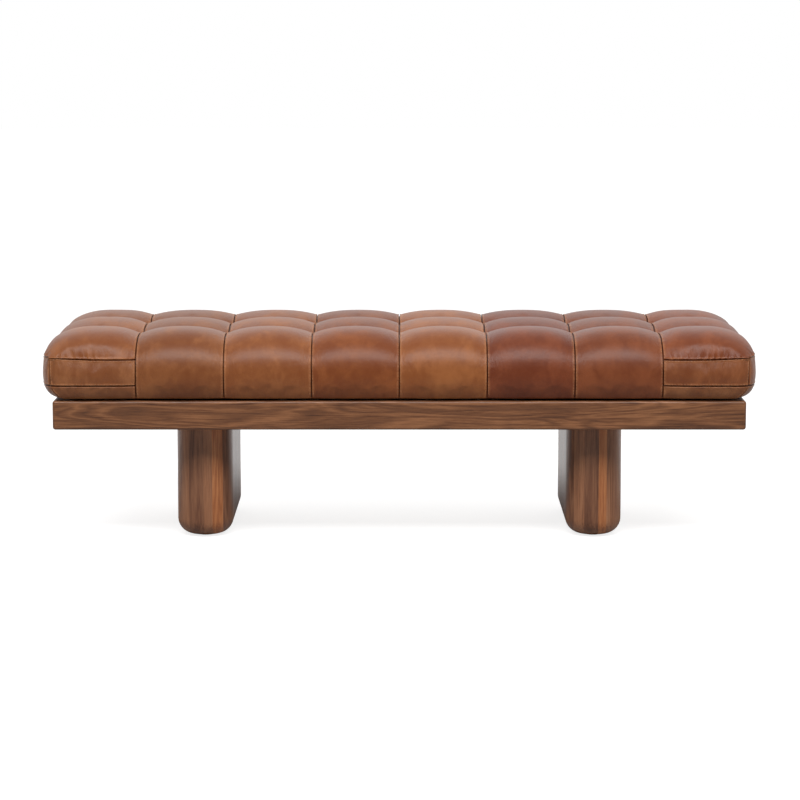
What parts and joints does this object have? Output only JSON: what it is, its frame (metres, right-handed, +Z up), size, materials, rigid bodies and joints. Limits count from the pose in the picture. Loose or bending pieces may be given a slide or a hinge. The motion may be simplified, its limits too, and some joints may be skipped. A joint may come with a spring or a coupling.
{
  "type": "upholstered bench",
  "caption": "Backless bench with a stuffed patchwork leather cushion lying loose on a thick wooden deck that stands on slab legs with round ends.",
  "frame": {"origin": "on the floor, under the middle of the bench", "axes": "+X along the bench's length towards the right end, +Y from the front to the back, +Z up"},
  "size_m": [1.524, 0.575, 0.4541],
  "materials": {
    "leather_orange_brown": "waxed pull-up leather, soft sheen",
    "leather_olive_brown": "waxed pull-up leather, soft sheen",
    "leather_red_brown": "waxed pull-up leather, soft sheen",
    "leather_golden_tan": "waxed pull-up leather, soft sheen",
    "leather_mahogany": "waxed pull-up leather, soft sheen",
    "leather_boxing": "waxed pull-up leather, soft sheen",
    "wood_deck": "figured hardwood, satin lacquer",
    "wood_panel": "plywood, bare",
    "wood_carcass": "planed softwood, bare",
    "wood_stave_brown": "figured hardwood, satin lacquer",
    "wood_stave_dark": "figured hardwood, satin lacquer",
    "wood_stave_orange": "figured hardwood, satin lacquer",
    "steel": "zinc-plated steel",
    "glide_plastic": "dark nylon",
    "tape": "black hook-and-loop tape",
    "fibre": "loose polyester fibre in a calico liner",
    "foam": "upholstery foam",
    "twine": "waxed linen twine"
  },
  "bodies": {
    "base": {"front_rail": "wood_deck", "back_rail": "wood_deck", "left_end_rail": "wood_deck", "right_end_rail": "wood_deck", "deck_panel": "wood_panel", "left_bearer": "wood_carcass", "right_bearer": "wood_carcass", "centre_brace": "wood_carcass", "left_leg_stave_1": "wood_stave_brown", "left_leg_stave_2": "wood_stave_dark", "left_leg_stave_3": "wood_stave_brown", "left_leg_stave_4": "wood_stave_orange", "left_leg_stave_5": "wood_stave_dark", "right_leg_stave_1": "wood_stave_dark", "right_leg_stave_2": "wood_stave_brown", "right_leg_stave_3": "wood_stave_dark", "right_leg_stave_4": "wood_stave_orange", "right_leg_stave_5": "wood_stave_brown", "rail_dowels": "wood_carcass", "leg_bolts": "steel", "leg_washers": "steel", "leg_inserts": "steel", "deck_screws": "steel", "floor_glides": "glide_plastic", "hook_tapes": "tape"},
    "cushion": {"front_cell_1": "leather_orange_brown", "front_cell_2": "leather_olive_brown", "front_cell_3": "leather_orange_brown", "front_cell_4": "leather_red_brown", "front_cell_5": "leather_golden_tan", "front_cell_6": "leather_mahogany", "front_cell_7": "leather_red_brown", "front_cell_8": "leather_orange_brown", "middle_cell_1": "leather_orange_brown", "middle_cell_2": "leather_olive_brown", "middle_cell_3": "leather_orange_brown", "middle_cell_4": "leather_red_brown", "middle_cell_5": "leather_golden_tan", "middle_cell_6": "leather_mahogany", "middle_cell_7": "leather_red_brown", "middle_cell_8": "leather_orange_brown", "back_cell_1": "leather_orange_brown", "back_cell_2": "leather_olive_brown", "back_cell_3": "leather_orange_brown", "back_cell_4": "leather_red_brown", "back_cell_5": "leather_golden_tan", "back_cell_6": "leather_mahogany", "back_cell_7": "leather_red_brown", "back_cell_8": "leather_orange_brown", "front_left_boxing": "leather_boxing", "front_right_boxing": "leather_boxing", "back_left_boxing": "leather_boxing", "back_right_boxing": "leather_boxing", "left_end_panel": "leather_boxing", "right_end_panel": "leather_boxing", "bottom_panel": "leather_boxing", "fibre_fill": "fibre", "foam_core": "foam", "tuft_ties": "twine", "loop_tapes": "tape"}
  },
  "joints": [
    {"name": "cushion_lift", "type": "slide", "parent": "base", "child": "cushion", "axis": [0, 0, 1], "range_m": [0, 0.15]}
  ]
}
